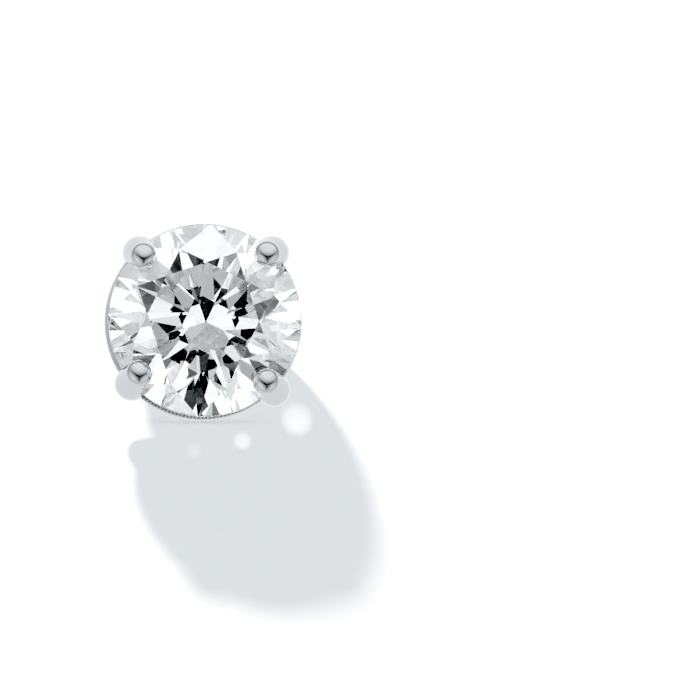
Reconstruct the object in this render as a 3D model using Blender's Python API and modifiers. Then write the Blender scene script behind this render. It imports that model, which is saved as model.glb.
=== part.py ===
"""Four-claw stud earring, resting on its gallery rail and its friction back.

Built in a local frame with the stone's axis along +Z and the wearer's up along +Y,
then laid on the floor: the table faces -Y and a little up, the post runs back along +Y.
"""
import math

import bmesh
import bpy
import numpy as np
from mathutils import Matrix, Vector

MM = 0.001
MERGE = 0.000001
CUT_MERGE = 0.00000001
FULL_TURN = 360.0
QUARTER_TURN = 90.0

# Round brilliant
STONE_RADIUS = 3.25 * MM
GIRDLE_SIDES = 64
FOLD = 8
FOLD_ANGLE = FULL_TURN / FOLD
HALF_FOLD = FOLD_ANGLE / 2
STONE_BEARING = 4.0
TABLE_RATIO = 0.58
STAR_LENGTH = 0.49
CROWN_ANGLE = 34.0
PAVILION_ANGLE = 41.65
LOWER_HALF_LENGTH = 0.787
GIRDLE_THICKNESS = 0.07 * STONE_RADIUS
CULET_RADIUS = 0.035 * MM
CROWN_HEIGHT = (1 - TABLE_RATIO) * STONE_RADIUS * math.tan(math.radians(CROWN_ANGLE))
PAVILION_DEPTH = STONE_RADIUS * math.tan(math.radians(PAVILION_ANGLE))
CULET_LEVEL = -GIRDLE_THICKNESS - PAVILION_DEPTH
BLANK_MARGIN = 0.5 * MM

# Claws: compass bearings seen from the front, clockwise from the top
CLAW_BEARINGS = (44.0, 135.2, 230.2, 316.4)
CLAW_INSETS = (0.20 * MM, 0.28 * MM, 0.40 * MM, 0.28 * MM)
SEAT_CLEARANCE = 0.03 * MM
SHOULDER_RADIUS = 0.59 * MM
SHOULDER_INSET = 0.05 * MM
SHOULDER_OFFSET = STONE_RADIUS - SHOULDER_INSET
SHOULDER_LEVEL = -0.50 * MM
SHOULDER_RUN = 0.54 * MM
SHOULDER_FOOT_RADIUS = 0.54 * MM
TIP_RADIUS = 0.47 * MM
TIP_RISE = 0.13 * MM
WIRE_SIDES_STEP = 9
WIRE_STEPS = 5
DOME_STEPS = 8
DOME_END = 0.04
WIRE_FOOT_RADIUS = 0.38 * MM
WIRE_KNEES = ((0.42, 0.23, 0.42 * MM), (0.79, 0.59, 0.46 * MM))

# Gallery rail under the girdle
RAIL_PROUD = 0.07 * MM
RAIL_RADIUS = STONE_RADIUS + RAIL_PROUD
RAIL_SHIFT = 0.09 * MM
RAIL_WIDTH = 0.30 * MM
RAIL_TOP = -0.62 * MM
RAIL_HEIGHT = 0.45 * MM
RAIL_ROUND = 0.07 * MM
RAIL_SIDES = 96
RAIL_ROUND_STEPS = 2

# Base disc and post
CULET_CLEARANCE = 0.20 * MM
BASE_TOP = CULET_LEVEL - CULET_CLEARANCE
BASE_RADIUS = 1.50 * MM
BASE_HEIGHT = 0.66 * MM
BASE_ROUND = 0.12 * MM
BASE_BACK = BASE_TOP - BASE_HEIGHT
POST_RADIUS = 0.40 * MM
POST_LENGTH = 9.4 * MM
POST_FILLET = 0.18 * MM
POST_TIP_ROUND = 0.25 * MM
POST_END = BASE_BACK - POST_LENGTH
NOTCH_FROM_END = 1.7 * MM
NOTCH_LENGTH = 0.5 * MM
NOTCH_DEPTH = 0.09 * MM
POST_SIDES = 40
BASE_ROUND_STEPS = 3
POST_TIP_STEPS = 4

WIRE_FOOT_OFFSET = 1.00 * MM
WIRE_FOOT_RISE = 0.05 * MM
WIRE_FOOT_LEVEL = BASE_TOP - BASE_HEIGHT / 2 + WIRE_FOOT_RISE
SHOULDER_FOOT_LEVEL = SHOULDER_LEVEL - SHOULDER_RUN

# Friction back
CLUTCH_WIDTH = 4.8 * MM
CLUTCH_HEIGHT = 3.2 * MM
CLUTCH_THICKNESS = 0.30 * MM
CLUTCH_CORNER = 0.75 * MM
CLUTCH_CORNER_STEPS = 6
CLUTCH_ROUND = 0.06 * MM
CLUTCH_ROUND_STEPS = 2
ROUND_PROFILE = 0.5
CLUTCH_FROM_BASE = 4.4 * MM
CLUTCH_FRONT = BASE_BACK - CLUTCH_FROM_BASE
CLUTCH_REAR = CLUTCH_FRONT - CLUTCH_THICKNESS
CLUTCH_GAP = 0.04 * MM
SCROLL_THICKNESS = 0.22 * MM
SCROLL_RADIUS = 0.80 * MM
SCROLL_HALF_HEIGHT = 1.0 * MM
SCROLL_END_ANGLE = -215.0
SCROLL_STEPS = 30
SCROLL_ROUND = 0.04 * MM
HOLE_SIDES = 40

# Rest on the floor
TILT_LOW = 2.0
TILT_HIGH = 30.0
TILT_ROUNDS = 60

SHARP_ANGLE = 32.0
STONE_COLOUR = (1.0, 1.0, 1.0)
STONE_IOR = 2.417
METAL_COLOUR = (0.82, 0.82, 0.81)
SETTING_ROUGHNESS = 0.08
BACK_ROUGHNESS = 0.12


def clear_scene():
    for item in list(bpy.data.objects):
        bpy.data.objects.remove(item, do_unlink=True)


def collection(name):
    made = bpy.data.collections.new(name)
    bpy.context.scene.collection.children.link(made)
    return made


def add_object(name, data, home):
    item = bpy.data.objects.new(name, data)
    home.objects.link(item)
    return item


def mesh_from(bm, name):
    mesh = bpy.data.meshes.new(name)
    bm.to_mesh(mesh)
    bm.free()
    return mesh


def evaluated(item, name, home):
    graph = bpy.context.evaluated_depsgraph_get()
    mesh = bpy.data.meshes.new_from_object(item.evaluated_get(graph))
    bm = bmesh.new()
    bm.from_mesh(mesh)
    bmesh.ops.remove_doubles(bm, verts=bm.verts, dist=MERGE)
    bmesh.ops.recalc_face_normals(bm, faces=bm.faces)
    bpy.data.meshes.remove(mesh)
    bpy.data.objects.remove(item, do_unlink=True)
    return add_object(name, mesh_from(bm, name), home)


def boolean(target, cutter, operation):
    step = target.modifiers.new("Boolean", "BOOLEAN")
    step.operation = operation
    step.solver = "EXACT"
    step.object = cutter
    graph = bpy.context.evaluated_depsgraph_get()
    mesh = bpy.data.meshes.new_from_object(target.evaluated_get(graph))
    target.modifiers.clear()
    target.data = mesh
    return target


def polar(radius, bearing, level):
    turn = math.radians(bearing)
    return Vector((radius * math.sin(turn), radius * math.cos(turn), level))


def facet_planes():
    cosine = math.cos(math.radians(HALF_FOLD))
    girdle_low = -GIRDLE_THICKNESS
    table_mid = TABLE_RATIO * STONE_RADIUS * cosine
    star_radius = table_mid + STAR_LENGTH * (STONE_RADIUS - table_mid)
    star_run = star_radius * cosine - TABLE_RATIO * STONE_RADIUS
    star_level = CROWN_HEIGHT * (1 - star_run / ((1 - TABLE_RATIO) * STONE_RADIUS))
    lower_radius = (1 - LOWER_HALF_LENGTH) * STONE_RADIUS
    lower_level = girdle_low - PAVILION_DEPTH * (1 - lower_radius * cosine / STONE_RADIUS)
    culet = Vector((0, 0, CULET_LEVEL))
    triples = []
    for k in range(FOLD):
        here = STONE_BEARING + k * FOLD_ANGLE
        half = here + HALF_FOLD
        after = here + FOLD_ANGLE
        before = here - HALF_FOLD
        table_here = polar(TABLE_RATIO * STONE_RADIUS, here, CROWN_HEIGHT)
        table_after = polar(TABLE_RATIO * STONE_RADIUS, after, CROWN_HEIGHT)
        star_half = polar(star_radius, half, star_level)
        star_before = polar(star_radius, before, star_level)
        rim_here = polar(STONE_RADIUS, here, 0)
        rim_half = polar(STONE_RADIUS, half, 0)
        rim_after = polar(STONE_RADIUS, after, 0)
        low_here = polar(STONE_RADIUS, here, girdle_low)
        low_half = polar(STONE_RADIUS, half, girdle_low)
        low_after = polar(STONE_RADIUS, after, girdle_low)
        tip_half = polar(lower_radius, half, lower_level)
        tip_before = polar(lower_radius, before, lower_level)
        triples.append((table_here, star_half, star_before))
        triples.append((table_here, table_after, star_half))
        triples.append((star_half, rim_here, rim_half))
        triples.append((star_half, rim_half, rim_after))
        triples.append((culet, tip_half, tip_before))
        triples.append((tip_half, low_here, low_half))
        triples.append((tip_half, low_half, low_after))
    heart = Vector((0, 0, CULET_LEVEL / 2))
    planes = []
    for one, two, three in triples:
        normal = (two - one).cross(three - one).normalized()
        if normal.dot(one - heart) < 0:
            normal.negate()
        planes.append((one, normal))
    culet_rise = CULET_RADIUS * math.tan(math.radians(PAVILION_ANGLE))
    planes.append((Vector((0, 0, CROWN_HEIGHT)), Vector((0, 0, 1))))
    planes.append((Vector((0, 0, CULET_LEVEL + culet_rise)), Vector((0, 0, -1))))
    return planes


def brilliant(name, grow, home):
    top = CROWN_HEIGHT + BLANK_MARGIN
    bottom = CULET_LEVEL - BLANK_MARGIN
    bm = bmesh.new()
    bmesh.ops.create_cone(
        bm,
        cap_ends=True,
        segments=GIRDLE_SIDES,
        radius1=STONE_RADIUS + grow,
        radius2=STONE_RADIUS + grow,
        depth=top - bottom,
        matrix=Matrix.Translation((0, 0, (top + bottom) / 2))
        @ Matrix.Rotation(math.radians(-STONE_BEARING), 4, "Z"),
    )
    for point, normal in facet_planes():
        cut = bmesh.ops.bisect_plane(
            bm,
            geom=bm.verts[:] + bm.edges[:] + bm.faces[:],
            dist=CUT_MERGE,
            plane_co=point + normal * grow,
            plane_no=normal,
            clear_outer=True,
        )
        rim = [part for part in cut["geom_cut"] if isinstance(part, bmesh.types.BMEdge)]
        open_rim = [edge for edge in rim if edge.is_boundary]
        if open_rim:
            bmesh.ops.contextual_create(bm, geom=open_rim)
    bmesh.ops.remove_doubles(bm, verts=bm.verts, dist=CUT_MERGE)
    bmesh.ops.recalc_face_normals(bm, faces=bm.faces)
    return add_object(name, mesh_from(bm, name), home)


def smooth_path(path, steps):
    points = np.array(path)
    padded = np.vstack([2 * points[0] - points[1], points, 2 * points[-1] - points[-2]])
    out = []
    for k in range(len(points) - 1):
        before, start, end, after = padded[k:k + 4]
        for s in range(steps):
            t = s / steps
            out.append(0.5 * (2 * start + (end - before) * t
                              + (2 * before - 5 * start + 4 * end - after) * t ** 2
                              + (3 * start - before - 3 * end + after) * t ** 3))
    out.append(points[-1])
    return out


def claw_path(inset):
    across = SHOULDER_OFFSET - WIRE_FOOT_OFFSET
    along = SHOULDER_FOOT_LEVEL - WIRE_FOOT_LEVEL
    tip_level = inset * math.tan(math.radians(CROWN_ANGLE)) + TIP_RISE
    path = [(WIRE_FOOT_OFFSET, WIRE_FOOT_LEVEL, WIRE_FOOT_RADIUS)]
    for out, up, radius in WIRE_KNEES:
        path.append((WIRE_FOOT_OFFSET + out * across, WIRE_FOOT_LEVEL + up * along, radius))
    path.append((SHOULDER_OFFSET, SHOULDER_FOOT_LEVEL, SHOULDER_FOOT_RADIUS))
    path.append((SHOULDER_OFFSET, SHOULDER_LEVEL, SHOULDER_RADIUS))
    path.append((STONE_RADIUS - inset, tip_level, TIP_RADIUS))
    return path


def claw(name, bearing, inset, home):
    """One claw: a bent wire that swells at the shoulder and narrows to a round tip."""
    samples = [tuple(row) for row in smooth_path(claw_path(inset), WIRE_STEPS)]
    offset, level, radius = samples[-1]
    lean = math.atan2(offset - SHOULDER_OFFSET, level - SHOULDER_LEVEL)
    for k in range(1, DOME_STEPS + 1):
        swing = math.radians(QUARTER_TURN * k / DOME_STEPS)
        shrink = max(math.cos(swing), DOME_END)
        reach = radius * math.sin(swing)
        samples.append((offset + reach * math.sin(lean), level + reach * math.cos(lean), radius * shrink))
    data = bpy.data.curves.new(name, "CURVE")
    data.dimensions = "3D"
    data.bevel_depth = 1.0
    data.bevel_resolution = WIRE_SIDES_STEP
    data.use_fill_caps = True
    spline = data.splines.new("POLY")
    spline.points.add(len(samples) - 1)
    for point, (offset, level, radius) in zip(spline.points, samples):
        point.co = (*polar(offset, bearing, level), 1)
        point.radius = radius
    return evaluated(add_object(name + " path", data, home), name, home)


def revolved(name, profile, sides, closed, home):
    bm = bmesh.new()
    half_step = math.radians(FULL_TURN / sides) / 2
    turned = Matrix.Rotation(half_step, 3, "Z")
    verts = [bm.verts.new(turned @ Vector((radius, 0, level))) for radius, level in profile]
    for one, two in zip(verts, verts[1:]):
        bm.edges.new((one, two))
    if closed:
        bm.edges.new((verts[-1], verts[0]))
    item = add_object(name + " profile", mesh_from(bm, name), home)
    screw = item.modifiers.new("Screw", "SCREW")
    screw.axis = "Z"
    screw.angle = math.radians(FULL_TURN)
    screw.steps = sides
    screw.render_steps = sides
    screw.use_merge_vertices = True
    screw.merge_threshold = MERGE
    screw.use_normal_calculate = True
    return evaluated(item, name, home)


def arc(centre_radius, centre_level, size, start, end, steps):
    points = []
    for k in range(steps + 1):
        turn = math.radians(start + (end - start) * k / steps)
        points.append((centre_radius + size * math.cos(turn), centre_level + size * math.sin(turn)))
    return points


def gallery_rail(home):
    outer = RAIL_RADIUS - RAIL_ROUND
    inner = RAIL_RADIUS - RAIL_WIDTH + RAIL_ROUND
    high = RAIL_TOP - RAIL_ROUND
    low = RAIL_TOP - RAIL_HEIGHT + RAIL_ROUND
    profile = arc(outer, high, RAIL_ROUND, QUARTER_TURN, 0, RAIL_ROUND_STEPS)
    profile += arc(outer, low, RAIL_ROUND, 0, -QUARTER_TURN, RAIL_ROUND_STEPS)
    profile += arc(inner, low, RAIL_ROUND, -QUARTER_TURN, -2 * QUARTER_TURN, RAIL_ROUND_STEPS)
    profile += arc(inner, high, RAIL_ROUND, 2 * QUARTER_TURN, QUARTER_TURN, RAIL_ROUND_STEPS)
    rail = revolved("Rail", profile, RAIL_SIDES, True, home)
    rail.data.transform(Matrix.Translation((-RAIL_SHIFT, 0, 0)))
    return rail


def base_and_post(home):
    rim = BASE_RADIUS - BASE_ROUND
    notch_low = POST_END + NOTCH_FROM_END
    notch_high = notch_low + NOTCH_LENGTH
    profile = [(0, BASE_TOP)]
    front = BASE_TOP - BASE_ROUND
    back = BASE_BACK + BASE_ROUND
    hollow = BASE_BACK - POST_FILLET
    profile += arc(rim, front, BASE_ROUND, QUARTER_TURN, 0, BASE_ROUND_STEPS)
    profile += arc(rim, back, BASE_ROUND, 0, -QUARTER_TURN, BASE_ROUND_STEPS)
    profile += arc(POST_RADIUS + POST_FILLET, hollow, POST_FILLET,
                   QUARTER_TURN, 2 * QUARTER_TURN, BASE_ROUND_STEPS)
    profile += [
        (POST_RADIUS, notch_high + NOTCH_DEPTH),
        (POST_RADIUS - NOTCH_DEPTH, notch_high),
        (POST_RADIUS - NOTCH_DEPTH, notch_low),
        (POST_RADIUS, notch_low - NOTCH_DEPTH),
    ]
    profile += arc(POST_RADIUS - POST_TIP_ROUND, POST_END + POST_TIP_ROUND, POST_TIP_ROUND,
                   0, -QUARTER_TURN, POST_TIP_STEPS)
    profile.append((0, POST_END))
    return revolved("Base", profile, POST_SIDES, False, home)


def build_setting(home, shop):
    setting = base_and_post(home)
    pieces = [gallery_rail(shop)]
    for k, (bearing, inset) in enumerate(zip(CLAW_BEARINGS, CLAW_INSETS)):
        pieces.append(claw("Claw %d" % k, bearing, inset, shop))
    for piece in pieces:
        boolean(setting, piece, "UNION")
    boolean(setting, brilliant("Stone seat", SEAT_CLEARANCE, shop), "DIFFERENCE")
    setting.name = "setting"
    return setting


def clutch_plate(home):
    bm = bmesh.new()
    bmesh.ops.create_cube(
        bm,
        size=1.0,
        matrix=Matrix.Translation((0, 0, (CLUTCH_FRONT + CLUTCH_REAR) / 2))
        @ Matrix.Diagonal((CLUTCH_WIDTH, CLUTCH_HEIGHT, CLUTCH_THICKNESS, 1)),
    )
    upright = [edge for edge in bm.edges
               if abs(edge.verts[0].co.z - edge.verts[1].co.z) > CLUTCH_THICKNESS / 2]
    bmesh.ops.bevel(bm, geom=upright, offset=CLUTCH_CORNER, offset_type="OFFSET",
                    segments=CLUTCH_CORNER_STEPS, profile=ROUND_PROFILE, affect="EDGES")
    rims = [edge for edge in bm.edges
            if abs(edge.verts[0].co.z - edge.verts[1].co.z) < CLUTCH_THICKNESS / 2]
    bmesh.ops.bevel(bm, geom=rims, offset=CLUTCH_ROUND, offset_type="OFFSET",
                    segments=CLUTCH_ROUND_STEPS, profile=ROUND_PROFILE, affect="EDGES")
    return add_object("clutch", mesh_from(bm, "clutch"), home)


def scroll(name, side, home):
    centre = POST_RADIUS + CLUTCH_GAP + SCROLL_THICKNESS / 2 + SCROLL_RADIUS
    level = CLUTCH_REAR - SCROLL_RADIUS + SCROLL_THICKNESS / 4
    path = arc(centre, level, SCROLL_RADIUS, QUARTER_TURN, SCROLL_END_ANGLE, SCROLL_STEPS)
    bm = bmesh.new()
    low = [bm.verts.new((side * across, -SCROLL_HALF_HEIGHT, along)) for across, along in path]
    for one, two in zip(low, low[1:]):
        bm.edges.new((one, two))
    grown = bmesh.ops.extrude_edge_only(bm, edges=bm.edges[:])
    lifted = [part for part in grown["geom"] if isinstance(part, bmesh.types.BMVert)]
    bmesh.ops.translate(bm, verts=lifted, vec=(0, 2 * SCROLL_HALF_HEIGHT, 0))
    item = add_object(name + " strip", mesh_from(bm, name), home)
    thick = item.modifiers.new("Solidify", "SOLIDIFY")
    thick.thickness = SCROLL_THICKNESS
    thick.offset = 0
    thick.use_even_offset = True
    edge = item.modifiers.new("Bevel", "BEVEL")
    edge.width = SCROLL_ROUND
    edge.segments = 1
    edge.limit_method = "ANGLE"
    edge.angle_limit = math.radians(SHARP_ANGLE)
    return evaluated(item, name, home)


def build_clutch(home, shop):
    clutch = clutch_plate(home)
    for side, name in ((1, "Scroll right"), (-1, "Scroll left")):
        boolean(clutch, scroll(name, side, shop), "UNION")
    bm = bmesh.new()
    bmesh.ops.create_cone(
        bm,
        cap_ends=True,
        segments=HOLE_SIDES,
        radius1=POST_RADIUS + CLUTCH_GAP,
        radius2=POST_RADIUS + CLUTCH_GAP,
        depth=BLANK_MARGIN * 2 + CLUTCH_THICKNESS,
        matrix=Matrix.Translation((0, 0, (CLUTCH_FRONT + CLUTCH_REAR) / 2)),
    )
    hole = add_object("Post hole", mesh_from(bm, "Post hole"), shop)
    return boolean(clutch, hole, "DIFFERENCE")


def world_points(items):
    rows = []
    for item in items:
        flat = np.empty(len(item.data.vertices) * 3)
        item.data.vertices.foreach_get("co", flat)
        rows.append(flat.reshape(-1, 3))
    return np.vstack(rows)


def rest_tilt(front, back):
    low, high = TILT_LOW, TILT_HIGH
    for _ in range(TILT_ROUNDS):
        middle = (low + high) / 2
        turn = math.radians(middle)
        lift = np.array((0, math.cos(turn), math.sin(turn)))
        if (front @ lift).min() < (back @ lift).min():
            low = middle
        else:
            high = middle
    return (low + high) / 2


def place(items, tilt):
    turn = Matrix.Rotation(math.radians(QUARTER_TURN - tilt), 4, "X")
    for item in items:
        item.data.transform(turn)
    points = world_points(items)
    low, high = points.min(axis=0), points.max(axis=0)
    shift = Vector((-(low[0] + high[0]) / 2, -(low[1] + high[1]) / 2, -low[2]))
    for item in items:
        item.data.transform(Matrix.Translation(shift))


def material(name, colour, metallic, roughness):
    made = bpy.data.materials.new(name)
    made.use_nodes = True
    shader = made.node_tree.nodes["Principled BSDF"]
    shader.inputs["Base Color"].default_value = (*colour, 1)
    shader.inputs["Metallic"].default_value = metallic
    shader.inputs["Roughness"].default_value = roughness
    return made


def finish(item, made, smooth):
    item.data.materials.clear()
    item.data.materials.append(made)
    if smooth:
        item.data.shade_smooth()
        item.data.set_sharp_from_angle(angle=math.radians(SHARP_ANGLE))
    else:
        item.data.shade_flat()


def main():
    clear_scene()
    home = collection("Stud earring")
    shop = collection("Cutters")
    stone = brilliant("stone", 0, home)
    setting = build_setting(home, shop)
    clutch = build_clutch(home, shop)
    front = world_points([stone, setting])
    tilt = rest_tilt(front[front[:, 2] > CULET_LEVEL / 2], world_points([clutch]))
    place([stone, setting, clutch], tilt)
    glass = material("Clear stone", STONE_COLOUR, 0.0, 0.0)
    shader = glass.node_tree.nodes["Principled BSDF"]
    shader.inputs["Transmission Weight"].default_value = 1.0
    shader.inputs["IOR"].default_value = STONE_IOR
    finish(stone, glass, False)
    finish(setting, material("White gold setting", METAL_COLOUR, 1.0, SETTING_ROUGHNESS), True)
    finish(clutch, material("White gold back", METAL_COLOUR, 1.0, BACK_ROUGHNESS), True)
    for item in shop.objects:
        item.hide_render = True
        item.display_type = "WIRE"


main()
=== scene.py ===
import math

import bmesh
import bpy
from mathutils import Matrix, Vector


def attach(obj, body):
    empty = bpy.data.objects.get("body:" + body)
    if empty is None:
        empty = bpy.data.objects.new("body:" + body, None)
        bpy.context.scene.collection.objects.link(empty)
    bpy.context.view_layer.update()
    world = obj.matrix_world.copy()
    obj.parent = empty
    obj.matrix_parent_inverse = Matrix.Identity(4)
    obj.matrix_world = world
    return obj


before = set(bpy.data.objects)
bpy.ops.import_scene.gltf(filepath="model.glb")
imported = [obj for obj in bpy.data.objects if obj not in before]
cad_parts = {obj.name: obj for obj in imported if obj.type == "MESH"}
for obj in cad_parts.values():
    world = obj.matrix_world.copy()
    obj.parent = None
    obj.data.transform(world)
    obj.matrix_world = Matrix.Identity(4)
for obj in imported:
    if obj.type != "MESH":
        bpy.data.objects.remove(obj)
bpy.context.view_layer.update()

MM = 0.001

# Stone, as the part's source has it
STONE_RADIUS = 3.25 * MM
TABLE_RATIO = 0.58
CROWN_ANGLE = math.radians(34.0)
CROWN_HEIGHT = (1 - TABLE_RATIO) * STONE_RADIUS * math.tan(CROWN_ANGLE)

# Gallery rail, as the part's source has it
RAIL_RADIUS = STONE_RADIUS + 0.07 * MM
RAIL_SHIFT = 0.09 * MM
RAIL_TOP = -0.62 * MM
RAIL_HEIGHT = 0.45 * MM

# Camera: how the stone is turned against the line of sight, and where it falls in the picture
FACES_UP = math.radians(4.93)
FACES_LEFT = math.radians(2.94)
DISTANCE = 0.5
STONE_PIXEL = (204.52, 320.17)
STONE_PIXELS = 96.7
FRAME_PIXELS = 700.0
SENSOR_MM = 36.0
CLIP_NEAR, CLIP_FAR = 0.05, 10.0
PIXEL = STONE_RADIUS / STONE_PIXELS

NORMAL_DIGITS = 3


def stone_axis():
    """Outward normal of the table, the direction that most of the stone's surface faces."""
    faces = {}
    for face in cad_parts["stone"].data.polygons:
        key = tuple(round(part, NORMAL_DIGITS) for part in face.normal)
        faces.setdefault(key, []).append(face)
    table = max(faces.values(), key=lambda group: sum(face.area for face in group))
    return table[0].normal.normalized()


OUTWARD = stone_axis()
ACROSS = Vector((1, 0, 0))
UPWARD = OUTWARD.cross(ACROSS).normalized()


def stone_centre():
    """Point on the stone's axis level with the girdle's upper edge."""
    points = [vert.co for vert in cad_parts["stone"].data.vertices]
    across = [point.dot(ACROSS) for point in points]
    upward = [point.dot(UPWARD) for point in points]
    top = max(point.dot(OUTWARD) for point in points)
    return (ACROSS * (min(across) + max(across)) / 2 + UPWARD * (min(upward) + max(upward)) / 2
            + OUTWARD * (top - CROWN_HEIGHT))


STONE_CENTRE = stone_centre()
RAIL_CENTRE = STONE_CENTRE - ACROSS * RAIL_SHIFT


def sight_axes():
    """Right, up and toward-the-viewer of the line of sight to the stone."""
    sy, cy = math.sin(-FACES_LEFT), math.cos(FACES_LEFT)
    sx, cx = math.sin(FACES_UP), math.cos(FACES_UP)
    right = ACROSS * cy + OUTWARD * sy
    rise = ACROSS * (-sy * sx) + UPWARD * cx + OUTWARD * (cy * sx)
    back = ACROSS * (-sy * cx) - UPWARD * sx + OUTWARD * (cy * cx)
    return right, rise, back


RIGHT, RISE, BACK = sight_axes()

GRAIN_DETAIL = 2.0


class Nodes:
    """Writes a node tree as nested calls."""

    def __init__(self, tree, output):
        self.tree = tree
        self.output = output
        tree.nodes.clear()

    def put(self, kind, inputs=(), out=0, **settings):
        node = self.tree.nodes.new(kind)
        for key, value in settings.items():
            setattr(node, key, value)
        for key, value in dict(inputs).items():
            if isinstance(value, bpy.types.NodeSocket):
                self.tree.links.new(value, node.inputs[key])
            else:
                node.inputs[key].default_value = value
        return node.outputs[out]

    def close(self, shader):
        self.tree.links.new(shader, self.tree.nodes.new(self.output).inputs[0])

    def math(self, operation, *values, clamp=False):
        return self.put("ShaderNodeMath", dict(enumerate(values)),
                        operation=operation, use_clamp=clamp)

    def vector(self, operation, *values, out=0):
        return self.put("ShaderNodeVectorMath", dict(enumerate(values)),
                        out=out, operation=operation)

    def scaled(self, one, factor):
        return self.put("ShaderNodeVectorMath", {0: one, "Scale": factor}, operation="SCALE")

    def dot(self, one, two):
        return self.vector("DOT_PRODUCT", one, tuple(two), out="Value")

    def combine(self, *parts):
        return self.put("ShaderNodeCombineXYZ", dict(enumerate(parts)))

    def length(self, value):
        return self.vector("LENGTH", value, out="Value")

    def smooth(self, value, a, b, c=0.0, d=1.0):
        return self.put("ShaderNodeMapRange", {0: value, 1: a, 2: b, 3: c, 4: d},
                        interpolation_type="SMOOTHSTEP")

    def blend(self, factor, one, two):
        return self.put("ShaderNodeMix", {0: factor, 2: one, 3: two}, data_type="FLOAT")

    def tint(self, factor, one, two):
        return self.put("ShaderNodeMix", {0: factor, 6: one, 7: two}, out=2, data_type="RGBA")

    def noise(self, place, scale, detail):
        return self.put("ShaderNodeTexNoise", {"Vector": place, "Scale": scale, "Detail": detail})


# Plain studio round the stud: a softbox and a lamp on each side, a light overhead,
# a white card low on each side, and the dark camera on its stand over a dark table edge.
# Degrees from the line of sight: name, right, up, half width, half height, brightness
STUDIO = (
    ("left softbox", -40, -10, 25, 35, 1.2),
    ("right softbox", 40, -10, 25, 35, 1.2),
    ("left card", -40, -65, 25, 8, 1.6),
    ("right card", 40, -65, 25, 8, 1.6),
    ("overhead light", 0, 80, 30, 20, 2.4),
    ("camera", 0, 0, 15, 15, 0.0),
    ("stand", 0, -25, 15, 20, 0.0),
    ("table edge", 0, -50, 15, 15, 0.1),
    ("left lamp", -45, -5, 5, 5, 2.6),
    ("right lamp", 45, -5, 5, 5, 2.6),
)
EDGE = 0.3

# Room round them: brightness to the side, its change toward the viewer, and brightness behind the stud
ROOM = 0.8
ROOM_FRONT = -0.2
ROOM_BEHIND = 0.6
ROOM_TURNS = (0.05, -0.35)
LEAST_SPREAD = 0.02
TINT_STUDIO = (0.965, 1.0, 1.02)

# Even light that falls on the table, and the white that the camera sees behind it
TABLE_LIGHT = (0.776, 0.804, 0.824, 1.0)
BACKDROP = (1.05, 1.05, 1.05, 1.0)


def half_tangent(degrees):
    return math.tan(math.radians(degrees) / 2)


def flat_place(right, up):
    """A direction in degrees from the line of sight, on the flat map of all directions."""
    off = math.hypot(right, up) or 1.0
    reach = half_tangent(off) / off
    return right * reach, up * reach


def studio_light(n, flat, z):
    """What the stone sees: the room, and the studio's lights and dark things in front of it."""
    light = n.math("MULTIPLY_ADD", z, ROOM_FRONT, ROOM)
    light = n.blend(n.smooth(z, *ROOM_TURNS), light, ROOM_BEHIND)
    for name, right, up, wide, high, value in STUDIO:
        u, v = flat_place(right, up)
        p = n.dot(flat, (1 / half_tangent(wide), 0, -u / half_tangent(wide)))
        q = n.dot(flat, (0, 1 / half_tangent(high), -v / half_tangent(high)))
        far = n.length(n.combine(p, q))
        light = n.blend(n.smooth(far, 1 + EDGE, 1 - EDGE), light, value)
    return light


# What the polished metal mirrors: three soft lobes, parted by dark gaps that meet below the lens,
# inside a dark ring, with the white room behind
LOBE = 0.84
GAP = 0.17
GAP_MEETS = (0.04, -0.26)
GAP_TURNS = (147, 24, 268)
GAP_HALF_WIDTH = (0.02, 0.12)
GAP_WIDENS = 0.6
GAP_FADES = 0.75
GAP_FADE_ENDS = (0.1, 1.2)
VALLEY_HALF_WIDTH = (0.05, 0.38)
VALLEY = 0.28
RING = 0.38
RING_LOW = 0.62
RING_LOW_ENDS = (-0.7, 0.5)
RING_CENTRE = (0.0, 0.35)
RING_INNER_EDGE = (0.75, 1.3)
RING_OUTER_EDGE = (1.35, 1.75)
BEHIND = 0.785
BEHIND_UP = 0.03
BEHIND_EDGE = 0.12
BEHIND_EDGE_ENDS = (-0.75, -1.0)


def metal_light(n, flat, y, z):
    u, v = GAP_MEETS
    out = n.length(n.vector("SUBTRACT", flat, (u, v, 1.0)))
    widen = n.math("MULTIPLY_ADD", out, GAP_WIDENS, 1.0)
    light = LOBE
    for turn in GAP_TURNS:
        c, s = math.cos(math.radians(turn)), math.sin(math.radians(turn))
        along = n.dot(flat, (c, s, -(u * c + v * s)))
        across = n.dot(flat, (-s, c, u * s - v * c))
        off = n.length(n.combine(n.math("MINIMUM", along, 0.0), across))
        off = n.math("DIVIDE", off, widen)
        valley = n.smooth(off, VALLEY_HALF_WIDTH[1], VALLEY_HALF_WIDTH[0], 0.0, VALLEY)
        light = n.blend(valley, light, 0.0)
        fades = n.smooth(along, *GAP_FADE_ENDS, 1.0, 1 - GAP_FADES)
        gap = n.math("MULTIPLY", n.smooth(off, GAP_HALF_WIDTH[1], GAP_HALF_WIDTH[0]), fades)
        light = n.blend(gap, light, GAP)
    room = n.math("MULTIPLY_ADD", y, BEHIND_UP, BEHIND)
    room = n.math("ADD", room, n.smooth(z, *BEHIND_EDGE_ENDS, 0.0, BEHIND_EDGE))
    ring = n.length(n.vector("SUBTRACT", flat, (*RING_CENTRE, 1.0)))
    dark = n.blend(n.smooth(y, *RING_LOW_ENDS), RING_LOW, RING)
    light = n.blend(n.smooth(ring, *RING_INNER_EDGE), light, dark)
    return n.blend(n.smooth(ring, *RING_OUTER_EDGE), light, room)


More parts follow.
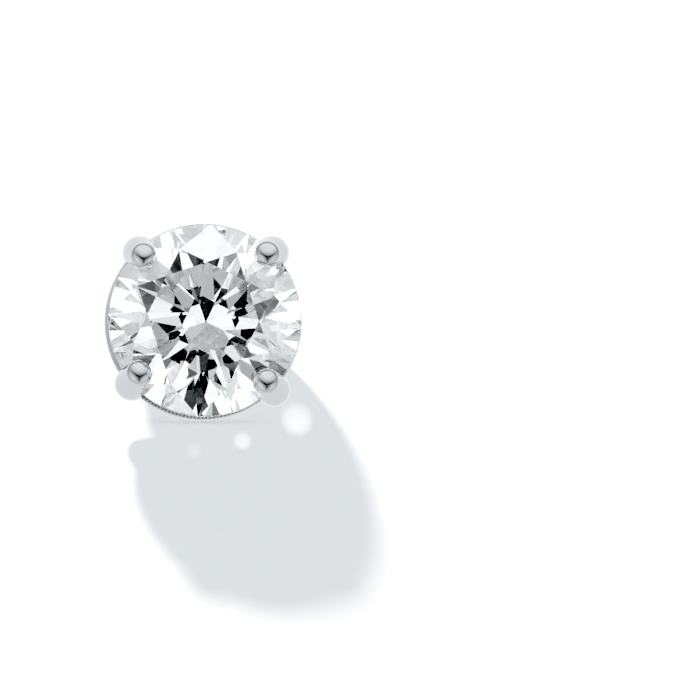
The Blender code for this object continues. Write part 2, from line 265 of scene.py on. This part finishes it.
def build_studio():
    world = bpy.data.worlds.new("Studio")
    world.use_nodes = True
    n = Nodes(world.node_tree, "ShaderNodeOutputWorld")
    way = n.put("ShaderNodeTexCoord", out="Generated")
    x, y, z = n.dot(way, RIGHT), n.dot(way, RISE), n.dot(way, BACK)
    spread = n.math("MAXIMUM", n.math("ADD", z, 1.0), LEAST_SPREAD)
    flat = n.combine(n.math("DIVIDE", x, spread), n.math("DIVIDE", y, spread), 1.0)
    rays = n.tree.nodes.new("ShaderNodeLightPath").outputs
    off_metal = n.math("SUBTRACT", rays["Is Reflection Ray"], rays["Is Singular Ray"], clamp=True)
    light = n.blend(off_metal, studio_light(n, flat, z), metal_light(n, flat, y, z))
    colour = n.tint(rays["Is Diffuse Ray"], n.scaled(TINT_STUDIO, light), TABLE_LIGHT)
    colour = n.tint(rays["Is Camera Ray"], colour, BACKDROP)
    n.close(n.put("ShaderNodeBackground", {0: colour, 1: 1.0}))
    world.cycles.sampling_method = "NONE"
    bpy.context.scene.world = world


def new_material(name):
    made = bpy.data.materials.new(name)
    made.use_nodes = True
    return made, Nodes(made.node_tree, "ShaderNodeOutputMaterial")


def places(n, centre):
    """Place on the piece, its distance from the axis through centre, and its height along it."""
    place = n.put("ShaderNodeTexCoord", out="Object")
    offset = n.vector("SUBTRACT", place, tuple(centre))
    across, up, level = n.dot(offset, ACROSS), n.dot(offset, UPWARD), n.dot(offset, OUTWARD)
    return place, n.length(n.combine(across, up)), level


# Ground girdle round the polished stone, between these shares of the stone's radius
GIRDLE_RING = (0.985, 0.995)
GIRDLE_TOP = (0.012, -0.004)
GIRDLE_BOTTOM = (-0.09, -0.066)
GIRDLE_ROUGHNESS = 0.45
GIRDLE_GRAIN = 9000.0
STONE_IOR = 2.417


def stone_material():
    made, n = new_material("Clear stone")
    place, ring, level = places(n, STONE_CENTRE)
    ring = n.math("DIVIDE", ring, STONE_RADIUS)
    level = n.math("DIVIDE", level, STONE_RADIUS)
    girdle = n.math("MULTIPLY", n.smooth(ring, *GIRDLE_RING), n.smooth(level, *GIRDLE_TOP))
    girdle = n.math("MULTIPLY", girdle, n.smooth(level, *GIRDLE_BOTTOM))
    grain = n.math("MULTIPLY", n.noise(place, GIRDLE_GRAIN, GRAIN_DETAIL), GIRDLE_ROUGHNESS)
    n.close(n.put("ShaderNodeBsdfPrincipled", {
        "Base Color": (1.0, 1.0, 1.0, 1.0),
        "Roughness": n.math("MULTIPLY", girdle, grain),
        "IOR": STONE_IOR,
        "Transmission Weight": 1.0,
    }))
    return made


METAL = (0.84, 0.84, 0.84)
SETTING_ROUGHNESS = 0.14
BACK_ROUGHNESS = 0.18
BEADS_METAL = (0.92, 0.92, 0.92)
BEADS_ROUGHNESS = 0.2

# Painted shade in grooves and corners of the metal: their colour is darker than on its open faces
GROOVE = 0.30 * MM
GROOVE_OPENS = (0.50, 0.92)
GROOVE_SAMPLES = 8
GROOVE_PAINTED_SHADE = 0.25
BEADS_PAINTED_SHADE = 0.45

# Polishing marks: a soft cloud, and fine lines round the stud
CLOUD_SCALE = 900.0
CLOUD_DETAIL = 3.0
LINES_SCALE = (9000.0, 900.0, 9000.0)
LINES_SHARE = 0.4
LINES_STRENGTH = 0.02
LINES_HEIGHT = 0.01 * MM

# Satin gallery rail between the polished claws
RAIL_ROUGHNESS = 0.55
RAIL_COLOUR = (1.0, 1.0, 1.0, 1.0)
RAIL_MARGIN = 0.005 * MM
RAIL_TOP_MARGIN = 0.01 * MM


def on_rail(n, ring, level):
    """One on the satin rail, none on the polished claws."""
    inside = n.math("LESS_THAN", ring, RAIL_RADIUS + RAIL_MARGIN)
    low = n.math("LESS_THAN", level, RAIL_TOP + RAIL_TOP_MARGIN)
    high = n.math("GREATER_THAN", level, RAIL_TOP - RAIL_HEIGHT)
    return n.math("MULTIPLY", inside, n.math("MULTIPLY", low, high))


def metal_material(name, roughness, colour, painted_groove_shade):
    made, n = new_material(name)
    place, ring, level = places(n, RAIL_CENTRE)
    rail = on_rail(n, ring, level)
    cloud = n.noise(place, CLOUD_SCALE, CLOUD_DETAIL)
    lines = n.noise(n.vector("MULTIPLY", place, LINES_SCALE), 1.0, GRAIN_DETAIL)
    rough = n.math("ADD", n.math("MULTIPLY", cloud, roughness),
                   n.math("MULTIPLY", lines, roughness * LINES_SHARE))
    bump = n.put("ShaderNodeBump", {"Strength": LINES_STRENGTH, "Distance": LINES_HEIGHT, "Height": lines})
    # Painted shade: the metal's colour is darkened where ambient occlusion finds it closed in
    opening = n.put("ShaderNodeAmbientOcclusion", {"Distance": GROOVE}, out="AO",
                    samples=GROOVE_SAMPLES, only_local=True)
    tone = n.scaled(colour, n.smooth(opening, *GROOVE_OPENS, painted_groove_shade, 1.0))
    n.close(n.put("ShaderNodeBsdfPrincipled", {
        "Base Color": n.tint(rail, tone, RAIL_COLOUR),
        "Metallic": 1.0,
        "Roughness": n.blend(rail, rough, RAIL_ROUGHNESS),
        "Normal": bump,
    }))
    return made


FLOOR_SIZE = 3.0
FLOOR_WHITE = (0.90, 0.915)
FLOOR_ROUGHNESS = 0.9
FLOOR_GRAIN = 400.0


def floor_material():
    made, n = new_material("White table")
    place = n.put("ShaderNodeTexCoord", out="Object")
    white = n.smooth(n.noise(place, FLOOR_GRAIN, GRAIN_DETAIL), 0.0, 1.0, *FLOOR_WHITE)
    n.close(n.put("ShaderNodeBsdfPrincipled", {
        "Base Color": n.combine(white, white, white),
        "Roughness": FLOOR_ROUGHNESS,
        "Specular IOR Level": 0.0,
    }))
    return made


def hide_from(item, *rays):
    for ray in rays:
        setattr(item, "visible_" + ray, False)


def build_floor():
    bpy.ops.mesh.primitive_plane_add(size=FLOOR_SIZE)
    floor = bpy.context.object
    floor.name = "Table top"
    floor.data.materials.append(floor_material())
    hide_from(floor, "glossy", "transmission")


def dress(node, made):
    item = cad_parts[node]
    item.data.materials.clear()
    item.data.materials.append(made)
    hide_from(item, "diffuse")
    return item


WELD = 0.001 * MM
SHARP = math.radians(32)


def polish(item):
    """Rounded shading over the welded facets, with the sharp edges kept."""
    normals = item.data.attributes.get("custom_normal")
    if normals:
        item.data.attributes.remove(normals)
    item.data.shade_smooth()
    weld = item.modifiers.new("Weld", "WELD")
    weld.merge_threshold = WELD
    split = item.modifiers.new("Sharp edges", "EDGE_SPLIT")
    split.split_angle = SHARP
    split.use_edge_sharp = False


# Row of beads on the front of the gallery rail, between the two lower claws
BEAD_RADIUS = 0.062 * MM
BEAD_PITCH = 0.128 * MM
BEAD_FROM, BEAD_TO = 143.0, 222.0
BEAD_SUBDIVISIONS = 2
BEAD_ROW = RAIL_RADIUS - BEAD_RADIUS


def build_beads(made):
    step = math.degrees(BEAD_PITCH / BEAD_ROW)
    bm = bmesh.new()
    for k in range(int((BEAD_TO - BEAD_FROM) / step) + 1):
        bearing = math.radians(BEAD_FROM + k * step)
        outward = ACROSS * math.sin(bearing) + UPWARD * math.cos(bearing)
        middle = RAIL_CENTRE + outward * BEAD_ROW + OUTWARD * RAIL_TOP
        bmesh.ops.create_icosphere(bm, subdivisions=BEAD_SUBDIVISIONS, radius=BEAD_RADIUS,
                                   matrix=Matrix.Translation(middle))
    mesh = bpy.data.meshes.new("milgrain_beads")
    bm.to_mesh(mesh)
    bm.free()
    mesh.shade_smooth()
    mesh.materials.append(made)
    beads = bpy.data.objects.new("milgrain_beads", mesh)
    bpy.context.collection.objects.link(beads)
    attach(beads, "root")


# Upright round card behind the stud, unseen, that widens its shadow
CARD_HALF_WIDTH = 3.35 * MM
CARD_HALF_HEIGHT = 5.0 * MM
CARD_PLACE = (-0.45 * MM, 10.4 * MM, 3.9 * MM)
CARD_SIDES = 64


def build_card():
    bpy.ops.mesh.primitive_circle_add(vertices=CARD_SIDES, radius=1.0, fill_type="NGON",
                                      location=CARD_PLACE, rotation=(math.radians(90), 0, 0))
    card = bpy.context.object
    card.name = "Shadow card"
    card.scale = (CARD_HALF_WIDTH, CARD_HALF_HEIGHT, 1.0)
    hide_from(card, "camera", "diffuse", "glossy", "transmission")


def add_lamp(name, kind, energy, way):
    """A lamp that shines along way and that no piece mirrors."""
    lamp = bpy.data.lights.new(name, kind)
    lamp.energy = energy
    item = bpy.data.objects.new(name, lamp)
    bpy.context.collection.objects.link(item)
    hide_from(item, "glossy", "transmission")
    item.rotation_mode = "QUATERNION"
    item.rotation_quaternion = way.to_track_quat("-Z", "Y")
    return item


# Low light from behind the stud, which throws the long shadow toward the viewer
SUN_TURN = math.radians(6.2)
SUN_HEIGHT = math.radians(8.6)
SUN_STRENGTH = 7.5
SUN_WIDTH = math.radians(1.6)
SUN_COLOUR = (1.0, 0.91, 0.84)


def build_sun():
    level = math.cos(SUN_HEIGHT)
    way = Vector((math.sin(SUN_TURN) * level, -math.cos(SUN_TURN) * level, -math.sin(SUN_HEIGHT)))
    sun = add_lamp("Low key light", "SUN", SUN_STRENGTH, way)
    sun.data.angle = SUN_WIDTH
    sun.data.color = SUN_COLOUR


# Sparkles in the stone's shadow: place and width in the picture, in pixels, and brightness
SPARKLES = ((194, 449, 18, 0.6), (242, 440, 21, 1.7), (297, 420, 38, 2.0))
SPARKLE_CONE = math.radians(1.0)
SPARKLE_POWER = 30.0


def floor_point(across, down):
    """Where the floor shows at a pixel of the picture."""
    point = (STONE_CENTRE + RIGHT * (across - STONE_PIXEL[0]) * PIXEL
             - RISE * (down - STONE_PIXEL[1]) * PIXEL)
    return point - BACK * (point.z / BACK.z)


def build_sparkles():
    for across, down, wide, bright in SPARKLES:
        distance = wide * PIXEL / (2 * math.tan(SPARKLE_CONE / 2))
        sparkle = add_lamp("Sparkle", "SPOT", SPARKLE_POWER * bright * distance ** 2, -BACK)
        sparkle.location = floor_point(across, down) + BACK * distance
        sparkle.data.spot_size = SPARKLE_CONE
        sparkle.data.spot_blend = 1.0
        sparkle.data.shadow_soft_size = 0.0


def build_camera():
    data = bpy.data.cameras.new("Camera")
    focus = DISTANCE / PIXEL
    data.sensor_width = SENSOR_MM
    data.lens = focus / FRAME_PIXELS * SENSOR_MM
    data.clip_start, data.clip_end = CLIP_NEAR, CLIP_FAR
    camera = bpy.data.objects.new("Camera", data)
    bpy.context.collection.objects.link(camera)
    aim = Vector(((STONE_PIXEL[0] - FRAME_PIXELS / 2) / focus,
                  (FRAME_PIXELS / 2 - STONE_PIXEL[1]) / focus, -1.0)).normalized()
    swing = Vector((0, 0, -1)).rotation_difference(aim).to_matrix()
    sight = Matrix((RIGHT, RISE, BACK)).transposed()
    camera.rotation_mode = "QUATERNION"
    camera.rotation_quaternion = (sight @ swing.transposed()).to_quaternion()
    camera.location = STONE_CENTRE + BACK * DISTANCE
    bpy.context.scene.camera = camera


# Levels that the picture's black and white start from
BLACK_LEVEL = 0.120
WHITE_LEVEL = 0.930
BOUNCES = {"max_bounces": 24, "transmission_bounces": 20, "glossy_bounces": 20, "diffuse_bounces": 3}


def set_picture():
    view = bpy.context.scene.view_settings
    view.view_transform = "Standard"
    view.look = "None"
    view.use_curve_mapping = True
    view.curve_mapping.black_level = (BLACK_LEVEL,) * 3
    view.curve_mapping.white_level = (WHITE_LEVEL,) * 3
    view.curve_mapping.update()
    for name, count in BOUNCES.items():
        setattr(bpy.context.scene.cycles, name, count)


dress("stone", stone_material())
polish(dress("setting", metal_material("White gold setting", SETTING_ROUGHNESS, METAL, GROOVE_PAINTED_SHADE)))
polish(dress("clutch", metal_material("White gold back", BACK_ROUGHNESS, METAL, GROOVE_PAINTED_SHADE)))
build_beads(metal_material("Beaded rail", BEADS_ROUGHNESS, BEADS_METAL, BEADS_PAINTED_SHADE))
build_studio()
build_floor()
build_card()
build_sun()
build_sparkles()
build_camera()
set_picture()
